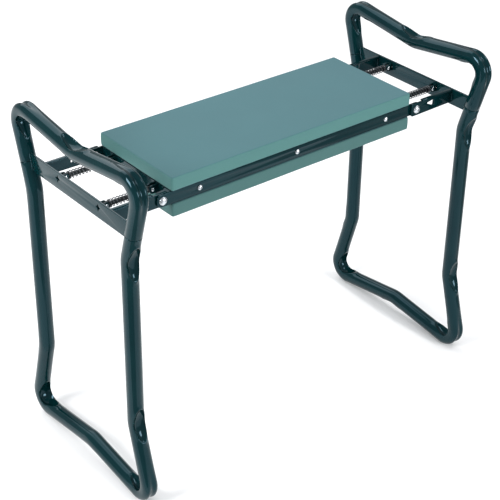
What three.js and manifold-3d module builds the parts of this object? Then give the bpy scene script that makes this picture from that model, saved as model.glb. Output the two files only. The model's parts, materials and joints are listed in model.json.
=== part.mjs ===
// Folding garden kneeler seat: a padded board hung between two looped tube frames.
// Stood this way up it is a seat; turned over, the short loops carry the lower pad as a kneeler.
// Millimetres. X runs along the seat, Y from front to back, Z up; the origin is on the ground
// under the middle. Each end is made once, for +X, and the other end is the same parts turned
// half a turn about Z, so one hinge arm of each end lies outside its rail and one inside.

import * as THREE from 'three';
import { mergeVertices } from 'three/addons/utils/BufferGeometryUtils.js';
import Module from 'manifold-3d';

const wasm = await Module();
wasm.setup();

// Fits
const GAP = 0.3;                 // between neighbouring pieces
const HALF_TURN = Math.PI;

// Leg frames: one closed loop of tube at each end, in a plane square to X
const LEG_X = 289;               // the loop's plane
const TUBE_RADIUS = 11;
const TUBE_WALL = 1.2;
const FRAME_MID_Z = 246.99;      // the loop is the same above and below this height
const CORNER = { y: 142, z: 240.4, bend: 22 };  // handle and foot corners, from the middle
const DIP = { z: 221.8, bend: 45 };             // where handle and foot rail bow in to the middle
const WAIST = { y: 109.2, z: 124, bend: 45 };   // where the legs come in and run straight down
const SEAM_Z = 409;              // the handle tube plugs into the leg tube here
const SPIGOT_LENGTH = 26;
const SPIGOT_WALL = 1.15;
const BEND_STEP = 0.34;          // radians of bend for each facet
const TUBE_SIDES = 12;
const BORE_SIDES = 12;

// Crossbar between the two legs of a loop
const CROSSBAR = { low: 398.5, high: 422.5, thick: 3 };
const CROSSBAR_IN = LEG_X - CROSSBAR.thick / 2;   // its inner face

// Seat
const PAD = { length: 408, width: 160, thick: 18.8, corner: 4.5 };
const RAIL = { low: 402.8, high: 420.2, thick: 2.5, outer: 78, pastBolt: 8.5, corner: 6.5 };
const RAIL_IN = RAIL.outer - RAIL.thick;
const BOARD = { low: 403.1, high: 419.9, length: 403.5 };
const BOARD_HALF_Y = RAIL_IN - GAP;
const RAIL_SCREW = { pitch: 160, head: 3.8, shank: 2, grip: 16 };

// Hinges: a bolt through each rail and arm
const HINGE_X = 216.5;
const HINGE_Z = 411.5;
const BOLT = { head: 5.8, headHeight: 3.8, shank: 3, nutHeight: 5, nutRadius: 5.6 };
const ARM = { thick: 3, top: 422, footAtBar: 403, reach: 9.5, corner: 3 };
const LIP = { deep: 6, thick: 2.3, start: HINGE_X + 12.5 };   // clears the end of the rail
const WINDOW = { near: 18.5, far: 34, tip: 3.8, top: 6.4, drop: 3.6 };   // measured from the bolt
const ARM_OUT = RAIL.outer + GAP;                 // inner face of an arm outside its rail
const ARM_IN = RAIL_IN - GAP - ARM.thick;         // inner face of an arm inside its rail

// Stay struts: a slotted bar from each crossbar to a pin on the seat's end, with a coil spring
const STRUT = { y: 46, z: 413.5, thick: 3, height: 8, neck: 5.6, shoulder: 2.5, tip: 4.5 };
const PIN = { x: HINGE_X - 5, radius: 1.5, head: 2.8 };
const RIVET_X = HINGE_X + 64.2;
const STRUT_TRAVEL = 2.7;        // how far the pin runs along its slot as the leg folds
const SLOT_HALF_HEIGHT = 2.4;
const CHEEK = { gap: 2.2, thick: 1.8 };           // the pair of lugs at either end of a strut
const END_PLATE = { near: 202.05, thick: 1.5, lug: 6 };
const SPRING = { outer: 5.5, inner: 4.65, near: PIN.x + 6.8, far: RIVET_X - 4.9 };
const STAKE = { outer: 5.2, inner: 2.3, sunk: 1.2 };  // star-shaped end of the clevis's tenon

// Colours
const framePaint = { color: 0x14474a, roughness: 0.25, metalness: 0.35 };
const padFoam = { color: 0x8fb3b2, roughness: 0.9, metalness: 0 };
const boardWood = { color: 0x2b4a4a, roughness: 0.7, metalness: 0 };
const zincSteel = { color: 0xb9bfc2, roughness: 0.3, metalness: 0.9 };
const darkSteel = { color: 0x2c3436, roughness: 0.45, metalness: 0.7 };

// ---------- solids ----------

function toSolid(geometry) {
  const bare = geometry.clone();
  bare.deleteAttribute('normal');
  bare.deleteAttribute('uv');
  const closed = mergeVertices(bare, 1e-4);
  return new wasm.Manifold(new wasm.Mesh({
    numProp: 3,
    vertProperties: new Float32Array(closed.attributes.position.array),
    triVerts: new Uint32Array(closed.index.array),
  }));
}

function toGeometry(solid) {
  const mesh = solid.getMesh();
  const geometry = new THREE.BufferGeometry();
  geometry.setAttribute('position', new THREE.BufferAttribute(new Float32Array(mesh.vertProperties), 3));
  geometry.setIndex(new THREE.BufferAttribute(new Uint32Array(mesh.triVerts), 1));
  geometry.computeVertexNormals();
  return geometry;
}

function joined(...geometries) {
  return toGeometry(geometries.map(toSolid).reduce((whole, next) => whole.add(next)));
}

function cut(geometry, ...tools) {
  return toGeometry(tools.map(toSolid).reduce((whole, tool) => whole.subtract(tool), toSolid(geometry)));
}

// A plate with its outline drawn in (x, z), from y to y + thick
function plateXZ(shape, y, thick) {
  const plate = new THREE.ExtrudeGeometry(shape, { depth: thick, bevelEnabled: false, curveSegments: 4 });
  const turn = new THREE.Matrix4().makeBasis(
    new THREE.Vector3(1, 0, 0), new THREE.Vector3(0, 0, 1), new THREE.Vector3(0, -1, 0));
  return plate.applyMatrix4(turn).translate(0, y + thick, 0);
}

// A plate with its outline drawn in (y, z), from x to x + thick
function plateYZ(shape, x, thick) {
  const plate = new THREE.ExtrudeGeometry(shape, { depth: thick, bevelEnabled: false, curveSegments: 4 });
  const turn = new THREE.Matrix4().makeBasis(
    new THREE.Vector3(0, 1, 0), new THREE.Vector3(0, 0, 1), new THREE.Vector3(1, 0, 0));
  return plate.applyMatrix4(turn).translate(x, 0, 0);
}

function boxBetween(low, high) {
  const size = high.map((value, axis) => value - low[axis]);
  const middle = high.map((value, axis) => (value + low[axis]) / 2);
  return new THREE.BoxGeometry(...size).translate(...middle);
}

// A solid turned about Y from (radius, y) points, listed from low y to high y
function turnedY(profile, x, z, sides = 12) {
  const points = profile.map(([radius, y]) => new THREE.Vector2(radius, y));
  return new THREE.LatheGeometry(points, sides).translate(x, 0, z);
}

function cylinderY(radius, yLow, yHigh, x, z, sides = 12) {
  return turnedY([[0, yLow], [radius, yLow], [radius, yHigh], [0, yHigh]], x, z, sides);
}

function circlePath(x, y, radius) {
  return new THREE.Path().absarc(x, y, radius, 0, 2 * Math.PI, true);
}

// A rectangle about (0, middle) with round corners
function roundedRectangle(halfX, halfY, corner, middle = 0) {
  const shape = new THREE.Shape();
  const low = middle - halfY;
  const high = middle + halfY;
  shape.moveTo(-halfX + corner, low);
  shape.lineTo(halfX - corner, low);
  shape.absarc(halfX - corner, low + corner, corner, -Math.PI / 2, 0, false);
  shape.absarc(halfX - corner, high - corner, corner, 0, Math.PI / 2, false);
  shape.absarc(-halfX + corner, high - corner, corner, Math.PI / 2, Math.PI, false);
  shape.absarc(-halfX + corner, low + corner, corner, Math.PI, 1.5 * Math.PI, false);
  return shape;
}

// ---------- bent tube ----------

// A centreline in the plane x = LEG_X through corner points, each corner rounded by its own bend.
// Straight runs are one step each and bends are split evenly, so steps follow the shape.
class BentRoute extends THREE.Curve {
  constructor(corners) {
    super();
    this.stations = [];
    corners.forEach((corner, index) => {
      const here = new THREE.Vector3(LEG_X, corner.y, corner.z);
      if (index === 0 || index === corners.length - 1) {
        this.stations.push(here);
        return;
      }
      const before = new THREE.Vector3(LEG_X, corners[index - 1].y, corners[index - 1].z);
      const after = new THREE.Vector3(LEG_X, corners[index + 1].y, corners[index + 1].z);
      this.stations.push(...bendStations(before, here, after, corner.bend));
    });
  }

  get steps() {
    return this.stations.length - 1;
  }

  getPoint(t, target = new THREE.Vector3()) {
    const place = t * this.steps;
    const index = Math.min(Math.max(Math.floor(place), 0), this.steps - 1);
    return target.lerpVectors(this.stations[index], this.stations[index + 1], place - index);
  }

  getUtoTmapping(u) {
    return u;
  }
}

function bendStations(before, here, after, bend) {
  const toBefore = before.clone().sub(here).normalize();
  const toAfter = after.clone().sub(here).normalize();
  const halfAngle = toBefore.angleTo(toAfter) / 2;
  const middle = toBefore.clone().add(toAfter).normalize();
  const centre = here.clone().addScaledVector(middle, bend / Math.sin(halfAngle));
  const start = here.clone().addScaledVector(toBefore, bend / Math.tan(halfAngle)).sub(centre);
  const turned = Math.PI - 2 * halfAngle;
  const axis = new THREE.Vector3().crossVectors(toAfter, toBefore).normalize();
  const count = Math.ceil(turned / BEND_STEP);
  return Array.from({ length: count + 1 }, (_, step) =>
    start.clone().applyAxisAngle(axis, (turned * step) / count).add(centre));
}

function tubeAlong(corners) {
  const route = new BentRoute(corners);
  const ring = new THREE.Shape(polygon(TUBE_RADIUS, TUBE_SIDES));
  ring.holes.push(new THREE.Path(polygon(TUBE_RADIUS - TUBE_WALL, BORE_SIDES).reverse()));
  return new THREE.ExtrudeGeometry(ring, { steps: route.steps, extrudePath: route });
}

function polygon(radius, sides) {
  return Array.from({ length: sides }, (_, side) => {
    const angle = (2 * Math.PI * side) / sides;
    return new THREE.Vector2(radius * Math.cos(angle), radius * Math.sin(angle));
  });
}

// How far a leg stands from the middle, between its handle corner and its waist
function legY(z) {
  const share = (z - FRAME_MID_Z - WAIST.z) / (CORNER.z - WAIST.z);
  return WAIST.y + share * (CORNER.y - WAIST.y);
}

const LEG_LEAN = Math.atan2(CORNER.y - WAIST.y, CORNER.z - WAIST.z);

// ---------- leg loop ----------

function handleTube() {
  const top = FRAME_MID_Z + CORNER.z;
  const ends = GAP / 2;
  const tube = tubeAlong([
    { y: -legY(SEAM_Z + ends), z: SEAM_Z + ends },
    { y: -CORNER.y, z: top, bend: CORNER.bend },
    { y: 0, z: FRAME_MID_Z + DIP.z, bend: DIP.bend },
    { y: CORNER.y, z: top, bend: CORNER.bend },
    { y: legY(SEAM_Z + ends), z: SEAM_Z + ends },
  ]);
  return joined(tube, spigot(-1), spigot(1));
}

// The handle tube's reduced end, which slides into the leg tube below the seam
function spigot(side) {
  const outer = TUBE_RADIUS - TUBE_WALL - 0.35;
  const inner = outer - SPIGOT_WALL;
  const shoulder = TUBE_RADIUS - TUBE_WALL / 2;
  const profile = [
    [inner, -SPIGOT_LENGTH], [outer, -SPIGOT_LENGTH], [outer, GAP], [shoulder, GAP],
    [shoulder, 3], [inner, 3], [inner, -SPIGOT_LENGTH],
  ].map(([radius, y]) => new THREE.Vector2(radius, y));
  const along = new THREE.Vector3(0, side * Math.sin(LEG_LEAN), Math.cos(LEG_LEAN));
  const turn = new THREE.Quaternion().setFromUnitVectors(new THREE.Vector3(0, 1, 0), along);
  return new THREE.LatheGeometry(profile, TUBE_SIDES).applyQuaternion(turn)
    .translate(LEG_X, side * legY(SEAM_Z), SEAM_Z);
}

function legTube() {
  const level = (height) => FRAME_MID_Z + height;
  const ends = GAP / 2;
  const seam = SEAM_Z - ends;
  const half = [
    { y: legY(seam), z: seam },
    { y: WAIST.y, z: level(WAIST.z), bend: WAIST.bend },
    { y: WAIST.y, z: level(-WAIST.z), bend: WAIST.bend },
    { y: CORNER.y, z: level(-CORNER.z), bend: CORNER.bend },
  ];
  const front = half.map((corner) => ({ ...corner, y: -corner.y }));
  return tubeAlong([...front, { y: 0, z: level(-DIP.z), bend: DIP.bend }, ...half.reverse()]);
}

function star(y, z, outer, inner) {
  const points = Array.from({ length: 8 }, (_, point) => {
    const angle = (Math.PI * point) / 4 + Math.PI / 2;
    const radius = point % 2 === 0 ? outer : inner;
    return new THREE.Vector2(y + radius * Math.cos(angle), z + radius * Math.sin(angle));
  });
  return points;
}

function crossbar() {
  const reach = (z) => legY(z) - (TUBE_RADIUS + GAP) / Math.cos(LEG_LEAN);
  const outline = new THREE.Shape();
  outline.moveTo(-reach(CROSSBAR.low), CROSSBAR.low);
  outline.lineTo(reach(CROSSBAR.low), CROSSBAR.low);
  outline.lineTo(reach(CROSSBAR.high), CROSSBAR.high);
  outline.lineTo(-reach(CROSSBAR.high), CROSSBAR.high);
  for (const side of [-1, 1]) {
    const hole = star(side * STRUT.y, STRUT.z, STAKE.outer, STAKE.inner).reverse();
    outline.holes.push(new THREE.Path(hole));
  }
  return plateYZ(outline, CROSSBAR_IN, CROSSBAR.thick);
}

// A hinge arm reaches from the crossbar past its bolt; beyond the rail its top is folded as a lip
function hingeArm(yLow, lipSide) {
  const far = CROSSBAR_IN - GAP;
  const near = HINGE_X - ARM.reach;
  const low = HINGE_Z - ARM.reach;
  const corner = ARM.corner;
  const outline = new THREE.Shape();
  outline.moveTo(far, ARM.footAtBar);
  outline.lineTo(far, ARM.top);
  outline.lineTo(near + corner, ARM.top);
  outline.absarc(near + corner, ARM.top - corner, corner, Math.PI / 2, Math.PI, false);
  outline.absarc(near + corner, low + corner, corner, Math.PI, 1.5 * Math.PI, false);
  outline.holes.push(circlePath(HINGE_X, HINGE_Z, BOLT.shank + GAP));
  outline.holes.push(new THREE.Path([
    new THREE.Vector2(HINGE_X + WINDOW.near, HINGE_Z + WINDOW.tip),
    new THREE.Vector2(HINGE_X + WINDOW.far, HINGE_Z + WINDOW.top),
    new THREE.Vector2(HINGE_X + WINDOW.far, HINGE_Z - WINDOW.drop),
  ]));
  const plate = plateXZ(outline, yLow, ARM.thick);
  const lipLow = lipSide > 0 ? yLow : yLow + ARM.thick - LIP.deep;
  const lip = boxBetween(
    [LIP.start, lipLow, ARM.top - LIP.thick], [far, lipLow + LIP.deep, ARM.top]);
  return joined(plate, lip);
}

// A clevis on the crossbar holds the strut's rivet; its tenon is staked in the star-shaped hole
function clevis(y) {
  const wide = CHEEK.gap + CHEEK.thick;
  const face = CROSSBAR_IN - GAP;
  const base = boxBetween([face - 1.6, y - wide, STRUT.z - 6], [face, y + wide, STRUT.z + 6]);
  const cheekOutline = new THREE.Shape();
  cheekOutline.moveTo(face - 1, STRUT.z - 5);
  cheekOutline.lineTo(face - 1, STRUT.z + 5);
  cheekOutline.lineTo(RIVET_X, STRUT.z + 5);
  cheekOutline.absarc(RIVET_X, STRUT.z, 5, Math.PI / 2, 1.5 * Math.PI, false);
  cheekOutline.holes.push(circlePath(RIVET_X, STRUT.z, PIN.radius + GAP));
  const cheeks = [y - wide, y + CHEEK.gap].map((low) => plateXZ(cheekOutline, low, CHEEK.thick));
  const tenonShape = new THREE.Shape(star(y, STRUT.z, STAKE.outer - 0.6, STAKE.inner - 0.35));
  const tenonEnd = CROSSBAR_IN + CROSSBAR.thick - STAKE.sunk;
  const tenon = plateYZ(tenonShape, face - 0.5, tenonEnd - face + 0.5);
  return joined(base, ...cheeks, tenon);
}

// A headed pin along Y, through a pair of cheeks either side of y
function cheekPin(x, y) {
  const reach = CHEEK.gap + CHEEK.thick + GAP;
  const end = reach + 1.2;
  return turnedY([
    [0, -end], [PIN.head, -end], [PIN.head, -reach], [PIN.radius, -reach],
    [PIN.radius, reach], [PIN.head, reach], [PIN.head, end], [0, end],
  ], x, STRUT.z, 10).translate(0, y, 0);
}

// The slotted strut, standing on edge, necked where it runs inside the spring
function strut(y) {
  const low = STRUT.z - STRUT.height / 2;
  const high = STRUT.z + STRUT.height / 2;
  const neckLow = STRUT.z - STRUT.neck / 2;
  const neckHigh = STRUT.z + STRUT.neck / 2;
  const near = SPRING.near + STRUT.shoulder;
  const far = SPRING.far - STRUT.shoulder;
  const tip = PIN.x - STRUT.tip;
  const outline = new THREE.Shape();
  outline.moveTo(tip + 2, low);
  outline.lineTo(near, low);
  outline.lineTo(near, neckLow);
  outline.lineTo(far, neckLow);
  outline.lineTo(far, low);
  outline.lineTo(RIVET_X, low);
  outline.absarc(RIVET_X, STRUT.z, STRUT.height / 2, -Math.PI / 2, Math.PI / 2, false);
  outline.lineTo(far, high);
  outline.lineTo(far, neckHigh);
  outline.lineTo(near, neckHigh);
  outline.lineTo(near, high);
  outline.lineTo(tip + 2, high);
  outline.absarc(tip + 2, high - 2, 2, Math.PI / 2, Math.PI, false);
  outline.absarc(tip + 2, low + 2, 2, Math.PI, 1.5 * Math.PI, false);
  outline.holes.push(circlePath(RIVET_X, STRUT.z, PIN.radius + GAP));
  const slot = new THREE.Path();
  const slotNear = PIN.x - 2.5;
  const slotFar = PIN.x + PIN.radius + STRUT_TRAVEL + 1;
  slot.moveTo(slotNear, STRUT.z - SLOT_HALF_HEIGHT);
  slot.lineTo(slotNear, STRUT.z + SLOT_HALF_HEIGHT);
  slot.lineTo(slotFar, STRUT.z + SLOT_HALF_HEIGHT);
  slot.lineTo(slotFar, STRUT.z - SLOT_HALF_HEIGHT);
  outline.holes.push(slot);
  return plateXZ(outline, y - STRUT.thick / 2, STRUT.thick);
}

// The coil spring's own space, as a sleeve round the strut
function springSleeve(y) {
  const ring = new THREE.Shape(polygon(SPRING.outer, 12));
  ring.holes.push(new THREE.Path(polygon(SPRING.inner, 12).reverse()));
  const sleeve = plateYZ(ring, SPRING.near, SPRING.far - SPRING.near);
  return sleeve.translate(0, y, STRUT.z);
}

// ---------- seat ----------

function pad(low) {
  const outline = roundedRectangle(PAD.length / 2, PAD.width / 2, PAD.corner);
  return new THREE.ExtrudeGeometry(outline, { depth: PAD.thick, bevelEnabled: false, curveSegments: 4 })
    .translate(0, 0, low);
}

function railScrewXs() {
  return [-RAIL_SCREW.pitch, 0, RAIL_SCREW.pitch];
}

// The rail is a flat bar with rounded ends, a hole for each hinge bolt and one for each screw
function rail(side) {
  const middle = (RAIL.low + RAIL.high) / 2;
  const outline = roundedRectangle(HINGE_X + RAIL.pastBolt, RAIL.high - middle, RAIL.corner, middle);
  for (const x of [-HINGE_X, HINGE_X]) {
    outline.holes.push(circlePath(x, HINGE_Z, BOLT.shank + GAP));
  }
  for (const x of railScrewXs()) {
    outline.holes.push(circlePath(x, HINGE_Z, RAIL_SCREW.shank + GAP));
  }
  return plateXZ(outline, side > 0 ? RAIL_IN : -RAIL.outer, RAIL.thick);
}

function board() {
  const half = BOARD.length / 2;
  const slab = boxBetween([-half, -BOARD_HALF_Y, BOARD.low], [half, BOARD_HALF_Y, BOARD.high]);
  const depth = RAIL_SCREW.grip + 2 * GAP;
  const pilots = railScrewXs().flatMap((x) => [-1, 1].map((side) => {
    const ends = [side * (BOARD_HALF_Y - depth), side * (BOARD_HALF_Y + 1)].sort((a, b) => a - b);
    return cylinderY(RAIL_SCREW.shank + GAP, ...ends, x, HINGE_Z, 8);
  }));
  return cut(slab, ...pilots);
}

// A domed fastener along Y with its head on the outside; profile given for the +Y side
function fastener(profile, side, x, sides) {
  const outward = side > 0 ? profile : profile.map(([radius, y]) => [radius, -y]).reverse();
  return turnedY(outward, x, HINGE_Z, sides);
}

function railScrew(x, side) {
  const face = RAIL.outer + GAP;
  return fastener([
    [0, BOARD_HALF_Y - RAIL_SCREW.grip], [RAIL_SCREW.shank, BOARD_HALF_Y - RAIL_SCREW.grip],
    [RAIL_SCREW.shank, face], [RAIL_SCREW.head, face], [RAIL_SCREW.head, face + 0.9],
    [RAIL_SCREW.head * 0.7, face + 2], [0, face + 2.4],
  ], side, x, 12);
}

function hingeBolt(side, headFace, nutFace) {
  const tail = nutFace - BOLT.nutHeight - 1.2;
  return fastener([
    [0, tail], [BOLT.shank, tail], [BOLT.shank, headFace], [BOLT.head, headFace],
    [BOLT.head, headFace + 1.2], [BOLT.head * 0.75, headFace + 3], [0, headFace + BOLT.headHeight],
  ], side, HINGE_X, 16);
}

function hingeNut(side, nutFace) {
  const hexagon = new THREE.Shape(polygon(BOLT.nutRadius, 6));
  hexagon.holes.push(circlePath(0, 0, BOLT.shank + GAP));
  const low = side > 0 ? nutFace - BOLT.nutHeight : -nutFace;
  return plateXZ(hexagon, low, BOLT.nutHeight).translate(HINGE_X, 0, HINGE_Z);
}

// The seat's end plate, with a pair of lugs for each strut's pin
function endPlate() {
  const far = END_PLATE.near + END_PLATE.thick;
  const plate = boxBetween(
    [END_PLATE.near, -BOARD_HALF_Y, BOARD.low], [far, BOARD_HALF_Y, BOARD.high]);
  const lug = new THREE.Shape();
  lug.moveTo(far - 0.5, STRUT.z + END_PLATE.lug);
  lug.lineTo(far - 0.5, STRUT.z - END_PLATE.lug);
  lug.lineTo(PIN.x, STRUT.z - END_PLATE.lug);
  lug.absarc(PIN.x, STRUT.z, END_PLATE.lug, -Math.PI / 2, Math.PI / 2, false);
  lug.holes.push(circlePath(PIN.x, STRUT.z, PIN.radius + GAP));
  const lows = [-1, 1].flatMap((side) => {
    const middle = side * STRUT.y;
    return [middle - CHEEK.gap - CHEEK.thick, middle + CHEEK.gap];
  });
  return joined(plate, ...lows.map((low) => plateXZ(lug, low, CHEEK.thick)));
}

// ---------- assembly ----------

function piece(name, geometry, look) {
  const mesh = new THREE.Mesh(geometry, new THREE.MeshStandardMaterial(look));
  mesh.name = name;
  return mesh;
}

// One end of the kneeler. Turned half round, its front pieces stand at the back.
function endAssembly(end) {
  const group = new THREE.Group();
  group.rotation.z = end === 'right' ? 0 : HALF_TURN;
  const place = (side) => (side < 0) === (end === 'right') ? 'front' : 'back';

  group.add(piece(`${end}_handle_tube`, handleTube(), framePaint));
  group.add(piece(`${end}_leg_tube`, legTube(), framePaint));
  group.add(piece(`${end}_crossbar`, crossbar(), framePaint));
  group.add(piece(`${end}_end_plate`, endPlate(), framePaint));

  // The arm on the -Y side lies outside its rail and the other one inside
  group.add(piece(`${end}_${place(-1)}_arm`, hingeArm(-ARM_OUT - ARM.thick, 1), framePaint));
  group.add(piece(`${end}_${place(1)}_arm`, hingeArm(ARM_IN, -1), framePaint));
  const stacks = [
    { side: -1, headFace: ARM_OUT + ARM.thick + GAP, nutFace: RAIL_IN - GAP },
    { side: 1, headFace: RAIL.outer + GAP, nutFace: ARM_IN - GAP },
  ];
  for (const { side, headFace, nutFace } of stacks) {
    const name = `${end}_${place(side)}`;
    group.add(piece(`${name}_hinge_bolt`, hingeBolt(side, headFace, nutFace), zincSteel));
    group.add(piece(`${name}_hinge_nut`, hingeNut(side, nutFace), zincSteel));
  }

  for (const side of [-1, 1]) {
    const name = `${end}_${place(side)}`;
    const y = side * STRUT.y;
    group.add(piece(`${name}_clevis`, clevis(y), framePaint));
    group.add(piece(`${name}_strut_rivet`, cheekPin(RIVET_X, y), zincSteel));
    group.add(piece(`${name}_strut`, strut(y), darkSteel));
    group.add(piece(`${name}_spring`, springSleeve(y), zincSteel));
    group.add(piece(`${name}_strut_pin`, cheekPin(PIN.x, y), zincSteel));
  }
  return group;
}

function seatAssembly() {
  const group = new THREE.Group();
  group.add(piece('upper_pad', pad(RAIL.high + GAP), padFoam));
  group.add(piece('lower_pad', pad(RAIL.low - GAP - PAD.thick), padFoam));
  group.add(piece('seat_board', board(), boardWood));
  for (const [name, side] of [['front', -1], ['back', 1]]) {
    group.add(piece(`${name}_rail`, rail(side), framePaint));
    railScrewXs().forEach((x, index) => {
      const along = ['left', 'middle', 'right'][index];
      group.add(piece(`${name}_${along}_rail_screw`, railScrew(x, side), zincSteel));
    });
  }
  return group;
}

const kneeler = new THREE.Group();
kneeler.add(seatAssembly(), endAssembly('left'), endAssembly('right'));

export default kneeler;
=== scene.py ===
"""Looks of the folding garden kneeler seat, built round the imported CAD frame.

Lengths are in millimetres until a mesh is made; MM turns them into metres. Each end of the
kneeler is modelled once, for +X, and the left end is the same form turned half a turn about Z.
"""

import json
import math

import bmesh
import bpy
import numpy as np
from mathutils import Matrix, Vector
from mathutils.geometry import tessellate_polygon


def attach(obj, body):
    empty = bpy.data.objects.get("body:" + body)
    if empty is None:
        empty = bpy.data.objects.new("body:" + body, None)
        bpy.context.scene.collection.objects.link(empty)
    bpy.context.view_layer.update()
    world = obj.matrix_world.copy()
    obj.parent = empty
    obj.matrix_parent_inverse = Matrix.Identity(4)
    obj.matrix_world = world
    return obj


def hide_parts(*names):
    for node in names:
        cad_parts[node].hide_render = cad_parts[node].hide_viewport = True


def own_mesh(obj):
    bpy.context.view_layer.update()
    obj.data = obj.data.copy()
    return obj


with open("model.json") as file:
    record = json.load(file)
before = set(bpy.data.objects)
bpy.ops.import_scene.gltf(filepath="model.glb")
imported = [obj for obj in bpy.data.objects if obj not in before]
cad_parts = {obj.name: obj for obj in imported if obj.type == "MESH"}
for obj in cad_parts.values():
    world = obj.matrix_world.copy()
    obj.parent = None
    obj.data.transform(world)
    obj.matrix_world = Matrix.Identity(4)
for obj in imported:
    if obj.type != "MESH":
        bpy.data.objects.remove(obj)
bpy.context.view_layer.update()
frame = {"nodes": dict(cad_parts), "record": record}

MM = 0.001
SHARP = 35  # degrees: edges bent by more than this stay sharp, unless a form says otherwise
ENDS = {"right": Matrix.Identity(4), "left": Matrix.Rotation(math.pi, 4, "Z")}
BODY_OF = {
    node: body
    for body, nodes in frame["record"]["behaviour"]["bodies"].items()
    for node in nodes
}

# Camera: azimuth, elevation and roll in degrees, then metres, millimetres of lens, and shifts
CAMERA_ANGLES = (-39.535, 30.759, 0.994)
CAMERA_TARGET, CAMERA_DISTANCE = Vector((0, 0, 0.2522)), 1.8991
CAMERA_LENS, CAMERA_SENSOR = 96.745, 36
CAMERA_SHIFT = (-0.01645, -0.03662)

# Light: each softbox's place and size in metres, and its power in watts
SOFTBOXES = {
    "left_softbox": ((-2.4, 0.3, 1.6), (1.1, 1.2), 72),
    "front_softbox": ((0.9, -2.6, 1.2), (1.1, 0.9), 44),
    "top_softbox": ((0.1, 1.9, 2.4), (2.8, 2.0), 40),
    "glint_softbox": ((1.4, -0.8, 2.35), (1.0, 0.3), 13),
}
SOFTBOX_AIM = Vector((0, 0, 0.25))
SKY_COLOUR, SKY_STRENGTH = (0.95, 0.97, 1, 1), 0.5

# Floor, in metres: how far it reaches, and the strip of its near side that shows in the gloss
FLOOR_REACH = 14
STRIP_LEFT, STRIP_RIGHT, STRIP_BACK = -0.34, 0.5, -0.2

# Leg loops
LEG_X = 289.0
TUBE_R = 11.0
LOOP_MID = 246.99
CORNER_Y, CORNER_UP, CORNER_BEND = 142.0, 240.4, 22.0
DIP_UP, DIP_BEND = 221.8, 45.0
WAIST_Y, WAIST_UP, WAIST_BEND = 109.2, 124.0, 45.0
SEAM_Z = 409.0
SEAM_GAP = 0.3
SEAM_CHAMFER = 0.7
TUBE_SIDES = 76
# Steps along a tube: fine as far as FINE_MARGIN past a crimp, then growing with the distance
FINE_STEP, COARSE_STEP, FINE_MARGIN, STEP_LAG = 1.0, 9.0, 10, 6
# Crimps pressed into the inside of each bend: half length along the tube, half width as a
# share of the radius, depth, lip round the rim, fuller shoulders, and depth of the outer groove
CRIMPS = {
    "corner": dict(half=39, wide=0.92, deep=9.5, lip=0.8, fuller=0.2, groove=4.0),
    "dip": dict(half=29, wide=0.82, deep=7.5, lip=0.6, fuller=0.03, groove=0.0),
    "waist": dict(half=27, wide=0.82, deep=8.0, lip=0.8, fuller=0.04, groove=0.0),
}

# Crossbars, rails, arms
BAR_LOW, BAR_HIGH, BAR_THICK = 398.5, 422.5, 3.0
BAR_IN = LEG_X - BAR_THICK / 2
GAP = 0.3
RAIL_LOW, RAIL_HIGH, RAIL_THICK, RAIL_OUT = 402.8, 420.2, 2.5, 78.0
RAIL_PAST_BOLT, RAIL_CORNER = 8.5, 6.5
RAIL_IN = RAIL_OUT - RAIL_THICK
BOARD_HALF_Y = RAIL_IN - GAP
BOARD_LOW, BOARD_HIGH = 403.1, 419.9
HINGE_X, HINGE_Z = 216.5, 411.5
BOLT_HOLE_R, SCREW_HOLE_R = 3.3, 2.3
SCREW_XS = {"left": -160.0, "middle": 0.0, "right": 160.0}
ARM_THICK, ARM_TOP, ARM_FOOT, ARM_REACH = 3.0, 422.0, 403.0, 9.5
ARM_NOSE, WEB_TOP = 12, ARM_TOP - 1.3  # level stretch under the bolt; top edge inside the lip
ARM_WINDOW = [(18.5, 3.8), (34, 6.4), (34, -3.6)]  # corners, measured from the hinge bolt
ARM_OUT = RAIL_OUT + GAP
ARM_IN = RAIL_IN - GAP - ARM_THICK
LIP_DEEP, LIP_THICK, LIP_ROOT, LIP_START = 6.0, 2.3, 3.6, HINGE_X + 12.5
LIP_PROUD = 0.04  # how far the lip's root stands out of the arm, so that the two join cleanly

# Stay struts
STAR = (5.4, 2.4)  # tip and waist radius of the star-shaped holes in the crossbars
STRUT_Y, STRUT_Z, STRUT_THICK, STRUT_HIGH, STRUT_NECK = 46.0, 413.5, 3.0, 8.0, 5.6
SLOT_BACK, SLOT_AHEAD, SLOT_HALF = 2.5, 5.2, 2.4  # the slot's ends from its pin, half height
PIN_X, PIN_R, PIN_HOLE_R = HINGE_X - 5, 1.5, 1.8
RIVET_X = HINGE_X + 64.2
NECK_NEAR, NECK_FAR, NECK_EASE, EYE_REACH = PIN_X + 9.3, RIVET_X - 7.4, 2, 4
CHEEK_GAP, CHEEK_THICK = 2.2, 1.8
END_PLATE_X, END_PLATE_THICK = 202.05, 1.5
LUG_HALF, CLEVIS_HALF, CLEVIS_THICK, EAR_HALF = 6, 6, 1.6, 5
SPRING_NEAR, SPRING_FAR = PIN_X + 6.8, RIVET_X - 5.2
SPRING_R, WIRE_R, SPRING_TURNS, CLOSED_TURNS = 4.8, 0.65, 10.5, 1.25

# Fasteners. A head is its radius, the height of its rim and its whole height
BOLT_HEAD, BOLT_R, BOLT_END = (5.8, 0.9, 3.8), 3.0, 6.2
THREAD_R, THREAD_TIP_R, THREAD_PITCH, THREAD_TURNS = 2.62, 2.5, 0.8, 8
NUT_R, NUT_CHAMFER_R, NUT_HOLE_R, NUT_HIGH, NUT_CHAMFER = 5.6, 5.05, 3.15, 5, 0.45
SCREW_HEAD, SCREW_R, SCREW_CLEAR = (3.8, 0.5, 2.45), 2.0, 0.12
RECESS_FLOOR, RECESS_THIN, RECESS_LONG = 1.15, 0.42, 1.75
PIN_HEAD, PIN_CLEAR = (2.8, 0.3, 1.45), 0.05
BOLT_CLEAR = 0.1  # between the steel and a bolt's head or nut

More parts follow.
